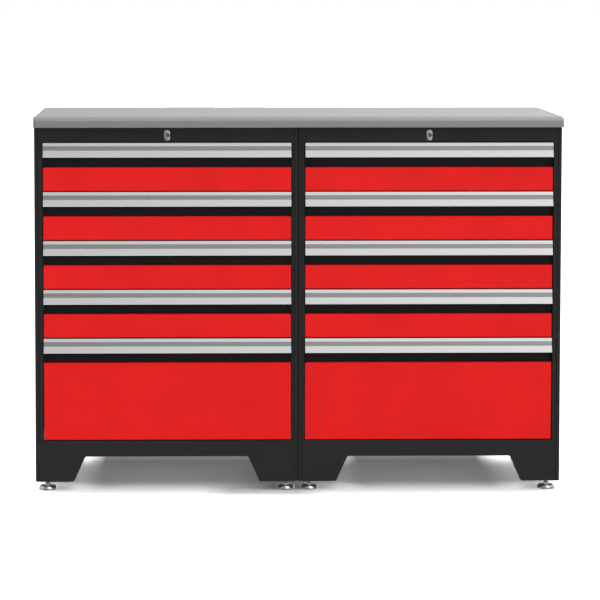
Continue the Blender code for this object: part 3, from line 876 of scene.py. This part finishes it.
def rails(number):
    """The zinc-plated rail on each side of a tray, and the screws that hold the pull, inside its front."""
    low, high = local_box(f"right_drawer_{number}", "tray")
    half = high.x - TRAY_INSET
    inner, outer = half + RAIL_PLAY, half + RAIL_DEPTH
    corners = [
        (inner, -RAIL_HALF),
        (outer, -RAIL_HALF),
        (outer, -RAIL_HALF + RAIL_LIP),
        (outer - RAIL_GROOVE, -GROOVE_HALF),
        (outer - RAIL_GROOVE, GROOVE_HALF),
        (outer, RAIL_HALF - RAIL_LIP),
        (outer, RAIL_HALF),
        (inner, RAIL_HALF),
    ]
    rounded = fillet(corners, [0, 0.0012, 0.0008, 0.0015, 0.0015, 0.0008, 0.0012, 0], 4)
    shapes = []
    for side in (-1, 1):
        section = [(side * x, RUNNER_LIFT + z) for x, z in rounded]
        rail = strip(section, RAIL_START, RAIL_END, "Y", turned_over=side < 0)
        shapes.append(thicken(rail, THIN_SHEET))
    screws = moved(screw(*PULL_SCREW), Matrix.Rotation(math.radians(-90), 4, "X"))
    places = [(x, low.y + PULL_SCREW_BACK, high.z - PULL_SCREW_DROP) for x in PULL_SCREWS]
    return [*shapes, copies(screws, places)]


# The mat's rib is (way along the mat, height) in each pitch
RIB_PITCH = 0.004
RIB = ((0.0010, 0.0014), (0.0016, 0.0022), (0.0026, 0.0022), (0.0032, 0.0014))
MAT_THICKNESS = 0.0014
MAT_LIFT = 0.0001
MAT_GAP = 0.0025
MAT_FRONT_GAP = 0.0045


def liner(number):
    """A ribbed mat on the floor of the tray."""
    low, high = local_box(f"right_drawer_{number}", "tray")
    half = high.x - TRAY_INSET - THIN_SHEET - MAT_GAP
    base = TRAY_LIFT + THIN_SHEET + MAT_LIFT
    count = int((2 * half) // RIB_PITCH)
    start = -count * RIB_PITCH / 2
    section = [(start, base), (start, base + MAT_THICKNESS)]
    for i in range(count):
        section += [(start + i * RIB_PITCH + along, base + height) for along, height in RIB]
    section += [(-start, base + MAT_THICKNESS), (-start, base)]
    return [prism(section, low.y + MAT_FRONT_GAP, high.y - THIN_SHEET - MAT_GAP, "Y")]


def make_drawers():
    handle = joined("pull", pull(), ALUMINIUM)
    for number in (SMALL, LARGE):
        face = joined(f"face_{number}", red_face(number), RED)
        mat = joined(f"liner_{number}", liner(number), LINER, sharp=50)
        rail = joined(f"rails_{number}", rails(number), ZINC)
        boxes = {
            name: joined(f"{name}_tray_{number}", tray(number), TRAY_BLACK_AND_RECESS_SHADE, side)
            for name, side in SIDES.items()
        }
        alike = [one for one in DRAWERS if (one == LARGE) == (number == LARGE)]
        for name in SIDES:
            for one in alike:
                drawer = f"{name}_drawer_{one}"
                origin = drawer_origin(drawer)
                top = origin + Vector((0, 0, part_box(f"{drawer}_handle")[1].z - origin.z))
                piece(f"{drawer}_panel", face, drawer, [f"{drawer}_face"], origin)
                piece(f"{drawer}_pull", handle, drawer, [f"{drawer}_handle"], top)
                piece(f"{drawer}_box", boxes[name], drawer, [f"{drawer}_tray"], origin)
                piece(f"{drawer}_rails", rail, drawer, location=origin)
                piece(f"{drawer}_liner", mat, drawer, location=origin)


# ---------------------------------------------------------------- locks, looking along +Z until turned

PLUG_GAP = 0.0002
KEYWAY_WIDTH = 0.0022
KEYWAY_HEIGHT = 0.0080
KEYWAY_DEPTHS = (-0.006, 0.02)


def capsule(radius, straight, height):
    """A pill outline, upright in Y, at a height."""
    return [(x, y + math.copysign(straight, y), height) for x, y in circle((0, 0), radius, 48, 0.5)]


def escutcheon():
    """The domed pill and its barrel, as one ring of loops from the bore's back round to the bore.

    Each loop is (radius, half of its straight part, height).
    """
    profile = [
        (PLUG_RADIUS + PLUG_GAP, 0, -0.0180),
        (BARREL_RADIUS, 0, -0.0180),
        (BARREL_RADIUS, 0, -0.0008),
        (0.0086, 0.0062, 0.0003),
        (0.0086, 0.0062, 0.0020),
        (0.0083, 0.0062, 0.0026),
        (0.0080, 0.0050, 0.0029),
        (0.0078, 0.0030, 0.0034),
        (0.0076, 0.0014, 0.0038),
        (0.0073, 0, 0.0041),
        (PLUG_RADIUS + PLUG_GAP, 0, 0.0038),
    ]
    loops = [capsule(radius, straight, height) for radius, straight, height in profile]
    return [facing_front(lofted(loops, closed=True))]


def lock_core():
    """The dished plug with its keyway, and the tail that carries the cam, as (radius, height)."""
    profile = [
        (0, -0.0300),
        (0.0030, -0.0300),
        (0.0030, -0.0240),
        (PLUG_RADIUS, -0.0240),
        (PLUG_RADIUS, 0.0036),
        (PLUG_RADIUS - 0.0004, 0.0040),
        (PLUG_RADIUS - 0.0010, 0.0040),
        (PLUG_RADIUS - 0.0016, 0.0032),
        (0, 0.0026),
    ]
    plug = turned(profile, 40)
    x, y, (back, front) = KEYWAY_WIDTH / 2, KEYWAY_HEIGHT / 2, KEYWAY_DEPTHS
    keyway = block((-x, -y, back), (x, y, front))
    return [facing_front(cut(plug, keyway))]


def make_locks():
    housing = joined("escutcheon", escutcheon(), CHROME, sharp=50)
    core = joined("lock_core", lock_core(), DARKENED_NICKEL)
    frame_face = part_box("right_front_frame")[0].y
    for name in SIDES:
        low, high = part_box(f"{name}_lock_housing")
        place = ((low.x + high.x) / 2, frame_face, (low.z + high.z) / 2)
        piece(f"{name}_escutcheon", housing, "chest", [f"{name}_lock_housing"], place)
        piece(f"{name}_lock_core", core, f"{name}_lock", [f"{name}_lock_plug"], place)


# ---------------------------------------------------------------- levelling feet

# A nut is (radius, bottom, top)
THREAD_SIDES = 24
ROWS_PER_PITCH = 6
NUT_EDGE = 0.0008
PAD_NUT = (0.0092, 0.0118, 0.0165)
STUD_BOTTOM = 0.0160
RUBBER_HEIGHT = 0.0016
RUBBER_INSET = 0.0008
WASHER_RADII = (0.0053, 0.0100)
WASHER_HEIGHT = 0.0015
CLAMP_NUT = (0.0095, WASHER_HEIGHT, 0.0095)


def threaded_stud(bottom, top):
    """A helical thread, as a radius that rises and falls along the rod and round it."""
    rows = int((top - bottom) / THREAD_PITCH * ROWS_PER_PITCH)
    loops = []
    for row in range(rows + 1):
        z = bottom + (top - bottom) * row / rows
        taper = min(1.0, (rows - row) / ROWS_PER_PITCH)
        loop = []
        for i in range(THREAD_SIDES):
            phase = (z / THREAD_PITCH - i / THREAD_SIDES) % 1.0
            radius = STUD_RADIUS - THREAD_DEPTH * abs(2 * phase - 1) - THREAD_DEPTH * (1 - taper)
            angle = 2 * math.pi * i / THREAD_SIDES
            loop.append((radius * math.cos(angle), radius * math.sin(angle), z))
        loops.append(loop)
    return lofted(loops, capped=True)


def hexagon_nut(radius, bottom, top):
    return bevel(prism(circle((0, 0), radius, 6), bottom, top, "Z"), NUT_EDGE, 2, 70)


def pad_radius():
    low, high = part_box("right_foot_front_inner")
    return (high.x - low.x) / 2


def foot_metal():
    """A pressed steel pad, as (radius, height), with a hexagon and the threaded stud."""
    pad = pad_radius()
    profile = [
        (0, 0.0012),
        (pad - 0.0010, 0.0012),
        (pad - 0.0002, 0.0016),
        (pad, 0.0022),
        (pad, 0.0036),
        (pad - 0.0004, 0.0044),
        (pad - 0.0026, 0.0096),
        (pad - 0.0034, 0.0105),
        (pad - 0.0048, 0.0109),
        (0.0120, 0.0114),
        (0.0100, 0.0122),
        (0, 0.0129),
    ]
    stud_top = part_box("right_foot_front_inner")[1].z
    return [turned(profile, 64), hexagon_nut(*PAD_NUT), threaded_stud(STUD_BOTTOM, stud_top)]


def foot_rubber():
    edge = pad_radius() - RUBBER_INSET
    profile = [(0, 0), (edge - 0.0005, 0), (edge, 0.0004), (edge, RUBBER_HEIGHT), (0, RUBBER_HEIGHT)]
    return [turned(profile, 64)]


def clamp_nut():
    """The nut and washer that hold a stud on top of the cabinet's base rail."""
    hole, rim = WASHER_RADII
    section = [(hole, 0), (rim, 0), (rim, WASHER_HEIGHT), (hole, WASHER_HEIGHT), (hole, 0)]
    return [turned(section, 32), hexagon_nut(*CLAMP_NUT)]


def make_feet():
    metal = joined("foot_metal", foot_metal(), SATIN_CHROME)
    pad = joined("foot_rubber", foot_rubber(), RUBBER)
    nut = joined("clamp_nut", clamp_nut(), ZINC)
    for name in SIDES:
        for end in ("front", "rear"):
            for edge in ("inner", "outer"):
                node = f"{name}_foot_{end}_{edge}"
                low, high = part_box(node)
                place = Vector(((low.x + high.x) / 2, (low.y + high.y) / 2, low.z))
                piece(f"{node}_metal", metal, node, [node], place)
                piece(f"{node}_rubber", pad, node, location=place)
                above = place + Vector((0, 0, BASE_RAIL_TOP))
                piece(f"{node}_nut", nut, "chest", location=above)


# ---------------------------------------------------------------- CAD pieces that stay

KEPT_EDGE = 0.0003


def dress_frame():
    """Edge rounding and a real finish for the runners, the cams and the lock bars."""
    kept = {"inner_runner_ladder": ZINC, "outer_runner_ladder": ZINC, "lock_cam": ZINC, "lock_bar": ZINC}
    for name in SIDES:
        for node, material in kept.items():
            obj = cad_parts[f"{name}_{node}"]
            obj.data.materials.clear()
            obj.data.materials.append(material)
            weld = obj.modifiers.new("weld", "WELD")
            weld.merge_threshold = SHEET_MERGE
            bevel(obj, KEPT_EDGE)


# ---------------------------------------------------------------- studio

CAMERA_PLACE = (-0.293, -8.448, 1.378)
CAMERA_DOWN = 4.85
CAMERA_TURN = -0.951
LENS = 182.9
SENSOR_WIDTH = 36
LENS_SHIFT = (0.1, -0.1)
CLIP_END = 300

# Brightness of the room, as gloss sees it and as matt surfaces see it. Each span is the part of the
# direction's x, y or z over which one brightness gives way to the next.
FRONT_HORIZON = 0.29
BACK_HORIZON = 0.75
GLOSS_LEFT = 0.20
GLOSS_RIGHT = 1.80
GLOSS_FLANKS = 0.80
GLOSS_BELOW = 0.35
GLOSS_FLOOR = 1.50
GLOSS_BY_HEIGHT = ((0.05, 0.0), (0.60, 0.85), (1.0, 0.40))
HORIZON_SPAN = (-0.6, 0.6)
SIDE_SPAN = (-0.35, 0.35)
FLANK_SPAN = (0.45, 0.80)
BELOW_SPAN = (-0.35, -0.12)
GLOSS_FLOOR_SPAN = (-0.85, -0.55)
MATT_FRONT = 1.65
MATT_BACK = 0.12
MATT_TOP = 1.10
MATT_SPAN = (-0.5, 0.5)
MATT_TOP_SPAN = (0.10, 0.70)

FLOOR_SIZE = 120
FLOOR_ALBEDO = 0.85
FLOOR_ALBEDO_TO_CAMERA = 1.85
# The floor's colour under and behind the chest, as the camera sees it, is painted light and painted shade
# that even out the chest's shadow. It is given as (y + DEPTH_START, share of the largest), with more painted
# light near the outer legs and at the middle. Painted light in x is given as (where it starts, where it
# ends, its level).
DEPTH_START = 0.5
LARGEST_PAINTED_FLOOR_LEVEL = 4.5
PAINTED_FLOOR_LIGHT_AND_SHADE_BY_DEPTH = (
    (0.13, 0.40), (0.18, 0.39), (0.22, 0.315), (0.25, 0.295), (0.30, 0.39), (0.34, 0.435), (0.40, 0.413),
    (0.445, 0.56), (0.48, 0.67), (0.55, 0.75), (0.585, 0.77), (0.62, 0.64), (0.656, 0.495), (0.69, 0.33),
    (0.73, 0.178), (0.77, 0.095), (0.90, 0.07), (1.0, 0.27),
)
LARGEST_PAINTED_FLOOR_LIGHT = 8.0
PAINTED_FLOOR_LIGHT_BY_DEPTH = (
    (0.24, 0.0), (0.277, 0.11), (0.31, 0.195), (0.345, 0.265), (0.38, 0.23), (0.41, 0.19), (0.48, 0.152),
    (0.55, 0.144), (0.62, 0.194), (0.656, 0.266), (0.69, 0.356), (0.73, 0.69), (0.78, 1.0),
)
PAINTED_LIGHT_NEAR_LEGS = (0.535, 0.605, 0.78)
PAINTED_LIGHT_AT_MIDDLE = (0.03, 0.11, 0.60)
MIDDLE = 0.08
# A painted soft shadow lies on the floor in front of the middle feet. Past the legs, between the last pair
# of edges, the floor turns white.
PAINTED_SHADOW_CENTRE = -0.09
PAINTED_SHADOW_REACH = (0.09, 0.17)
PAINTED_SHADOW_LEVEL = 0.64
PAINTED_SHADOW_DEPTHS = (0.15, 0.20, 0.30, 0.36)
PAINTED_SHADE_EDGES = (0.66, 0.76)


def calculated(tree, operation, first, second=0.0):
    """The output of one math node."""
    return add(tree, "ShaderNodeMath", {0: first, 1: second}, operation=operation).outputs[0]


def mixed(tree, factor, low, high):
    """From low at a factor of 0 to high at a factor of 1."""
    return add(tree, "ShaderNodeMix", {0: factor, 2: low, 3: high}).outputs[0]


def ramp(tree, value, stops):
    """The value looked up in (position, level) stops."""
    node = add(tree, "ShaderNodeValToRGB", {"Fac": value})
    elements = node.color_ramp.elements
    elements[0].position, elements[1].position = stops[0][0], stops[-1][0]
    for position, _ in stops[1:-1]:
        elements.new(position)
    for element, (_, level) in zip(elements, stops):
        element.color = (level, level, level, 1)
    return node.outputs["Color"]


def studio_world():
    """White all round for the camera. Gloss sees a room that is dimmer near the horizon."""
    world = bpy.data.worlds.new("studio")
    bpy.context.scene.world = world
    world.use_nodes = True
    world.cycles.sampling_method = "NONE"
    tree = world.node_tree
    direction = add(tree, "ShaderNodeTexCoord").outputs["Generated"]
    x, y, z = add(tree, "ShaderNodeSeparateXYZ", {"Vector": direction}).outputs

    horizon = ranged(tree, y, FRONT_HORIZON, BACK_HORIZON, *HORIZON_SPAN)
    flank = ranged(tree, calculated(tree, "ABSOLUTE", x), 0.0, 1.0, *FLANK_SPAN)
    steep = ramp(tree, calculated(tree, "ABSOLUTE", z), GLOSS_BY_HEIGHT)
    level = mixed(tree, steep, horizon, 1.0)
    sideways = ranged(tree, x, GLOSS_LEFT, GLOSS_RIGHT, *SIDE_SPAN)
    gloss = calculated(tree, "MULTIPLY", level, mixed(tree, flank, sideways, GLOSS_FLANKS))
    gloss = calculated(tree, "MULTIPLY", gloss, ranged(tree, z, GLOSS_BELOW, 1.0, *BELOW_SPAN))
    gloss = mixed(tree, ranged(tree, z, 1.0, 0.0, *GLOSS_FLOOR_SPAN), gloss, GLOSS_FLOOR)

    low = ranged(tree, y, MATT_FRONT, MATT_BACK, *MATT_SPAN)
    matt = mixed(tree, ranged(tree, z, 0.0, 1.0, *MATT_TOP_SPAN), low, MATT_TOP)

    path = add(tree, "ShaderNodeLightPath").outputs
    light = mixed(tree, path["Is Glossy Ray"], matt, gloss)
    light = mixed(tree, path["Is Camera Ray"], light, 1.0)
    background = tree.nodes["Background"]
    background.inputs["Color"].default_value = (1, 1, 1, 1)
    tree.links.new(light, background.inputs["Strength"])


def studio_floor():
    """A matt floor that the camera sees as pure white wherever the light is not blocked, with painted light
    and painted shade under and round the chest.
    """
    material = bpy.data.materials.new("studio_floor")
    material.use_nodes = True
    tree = material.node_tree
    camera_ray = add(tree, "ShaderNodeLightPath").outputs["Is Camera Ray"]
    place = add(tree, "ShaderNodeTexCoord").outputs["Object"]
    x, y, _ = add(tree, "ShaderNodeSeparateXYZ", {"Vector": place}).outputs
    across = calculated(tree, "ABSOLUTE", x)
    depth = calculated(tree, "ADD", y, DEPTH_START)
    outside = ranged(tree, across, 0.0, 1.0, *PAINTED_SHADE_EDGES)
    # Painted shade and painted light on the floor under the chest, by depth, brighter near the legs and the
    # middle
    under = calculated(tree, "MULTIPLY", ramp(tree, depth, PAINTED_FLOOR_LIGHT_AND_SHADE_BY_DEPTH), LARGEST_PAINTED_FLOOR_LEVEL)
    near_leg = ranged(tree, across, 0.0, PAINTED_LIGHT_NEAR_LEGS[2], *PAINTED_LIGHT_NEAR_LEGS[:2])
    off_middle = calculated(tree, "ABSOLUTE", calculated(tree, "SUBTRACT", x, MIDDLE))
    near_middle = ranged(tree, off_middle, PAINTED_LIGHT_AT_MIDDLE[2], 0.0, *PAINTED_LIGHT_AT_MIDDLE[:2])
    boost = calculated(tree, "MULTIPLY", ramp(tree, depth, PAINTED_FLOOR_LIGHT_BY_DEPTH), LARGEST_PAINTED_FLOOR_LIGHT)
    boost = calculated(tree, "MULTIPLY", boost, calculated(tree, "ADD", near_leg, near_middle))
    under = calculated(tree, "MULTIPLY", under, calculated(tree, "ADD", boost, 1.0))
    # A painted shadow on the floor in front of the middle feet, fading at its sides and ends
    from_shadow = calculated(tree, "ABSOLUTE", calculated(tree, "SUBTRACT", x, PAINTED_SHADOW_CENTRE))
    aside = ranged(tree, from_shadow, PAINTED_SHADOW_LEVEL, 1.0, *PAINTED_SHADOW_REACH)
    in_front = ranged(tree, depth, 0.0, 1.0, *PAINTED_SHADOW_DEPTHS[:2])
    in_front = calculated(tree, "MULTIPLY", in_front, ranged(tree, depth, 1.0, 0.0, *PAINTED_SHADOW_DEPTHS[2:]))
    under = calculated(tree, "MULTIPLY", under, mixed(tree, in_front, 1.0, aside))
    bright = mixed(tree, outside, under, FLOOR_ALBEDO_TO_CAMERA)
    albedo = mixed(tree, camera_ray, FLOOR_ALBEDO, bright)
    matt = add(tree, "ShaderNodeBsdfDiffuse", {"Color": albedo})
    tree.links.new(matt.outputs[0], tree.nodes["Material Output"].inputs["Surface"])
    bm = bmesh.new()
    bmesh.ops.create_grid(bm, x_segments=1, y_segments=1, size=FLOOR_SIZE)
    floor = from_bmesh(bm)
    floor.name = "floor"
    floor.data.materials.append(material)
    floor.visible_glossy = False


def camera():
    data = bpy.data.cameras.new("camera")
    data.lens = LENS
    data.sensor_width = SENSOR_WIDTH
    data.shift_x, data.shift_y = LENS_SHIFT
    data.clip_end = CLIP_END
    obj = bpy.data.objects.new("camera", data)
    bpy.context.scene.collection.objects.link(obj)
    obj.location = CAMERA_PLACE
    obj.rotation_euler = (math.radians(90 - CAMERA_DOWN), 0, math.radians(CAMERA_TURN))
    bpy.context.scene.camera = obj


bpy.context.scene.view_settings.view_transform = "Standard"
camera()
studio_world()
studio_floor()
worktop()
for cabinet, mirror in SIDES.items():
    make_cabinet(cabinet, mirror)
make_drawers()
make_locks()
make_feet()
dress_frame()
